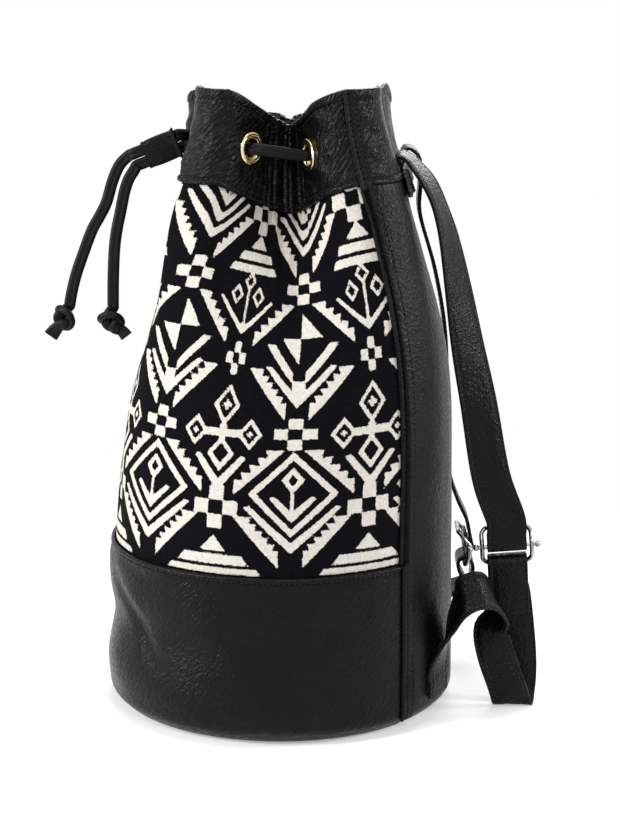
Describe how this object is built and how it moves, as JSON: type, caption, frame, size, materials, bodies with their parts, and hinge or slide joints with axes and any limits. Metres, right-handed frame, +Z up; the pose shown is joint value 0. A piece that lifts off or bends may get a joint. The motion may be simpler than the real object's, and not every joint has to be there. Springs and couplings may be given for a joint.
{
  "type": "drawstring bucket backpack",
  "caption": "Round drawstring backpack with a geometric woven body, leather foot, back and gathered collar, cord with slider, and buckled straps.",
  "frame": {"origin": "middle of the base panel's underside, where the bag stands", "axes": "+Z up through the bag, +Y to its back with the straps, -Y to its front with the cord ends"},
  "size_m": [0.2224, 0.3159, 0.398],
  "materials": {
    "leather": "black grained imitation leather, semi-matt",
    "strap": "black leather strap, stitched edges",
    "cord": "folded black leather cord",
    "fabric": "woven black and cream geometric cloth",
    "gold": "pale gold plated",
    "nickel": "dark nickel plated, polished",
    "board": "plain stiffening board"
  },
  "bodies": {
    "bag": {"base_panel": "leather", "base_board": "board", "lower_band": "leather", "fabric_panel": "fabric", "back_panel": "leather", "collar_front": "leather", "collar_back": "leather", "seam_strip_near": "leather", "seam_strip_far": "leather", "eyelet_1": "gold", "eyelet_2": "gold", "eyelet_3": "gold", "eyelet_4": "gold", "eyelet_5": "gold", "eyelet_6": "gold", "eyelet_washer_1": "gold", "eyelet_washer_2": "gold", "eyelet_washer_3": "gold", "eyelet_washer_4": "gold", "eyelet_washer_5": "gold", "eyelet_washer_6": "gold", "drawcord": "cord", "cord_end_outer": "cord", "cord_end_inner": "cord", "knot_outer": "cord", "knot_inner": "cord", "upper_strap_near": "strap", "upper_strap_far": "strap", "lower_strap_near": "strap", "lower_strap_far": "strap", "buckle_bar_near": "nickel", "buckle_bar_far": "nickel", "strap_patch": "leather"},
    "slider": {"cord_slider": "leather"},
    "near_frame": {"buckle_frame_near": "nickel"},
    "far_frame": {"buckle_frame_far": "nickel"}
  },
  "joints": [
    {"name": "slider_travel", "type": "slide", "parent": "bag", "child": "slider", "axis": [0, -0.9272, -0.3746], "range_m": [-0.0025, 0.004]},
    {"name": "near_frame_rock", "type": "hinge", "parent": "bag", "child": "near_frame", "pos_m": [0.03, 0.1437, 0.1065], "axis": [0, 0.9975, 0.07], "range_deg": [-4, 4]},
    {"name": "far_frame_rock", "type": "hinge", "parent": "bag", "child": "far_frame", "pos_m": [-0.045, 0.1235, 0.088], "axis": [-1, 0, 0], "range_deg": [-4, 4]}
  ]
}
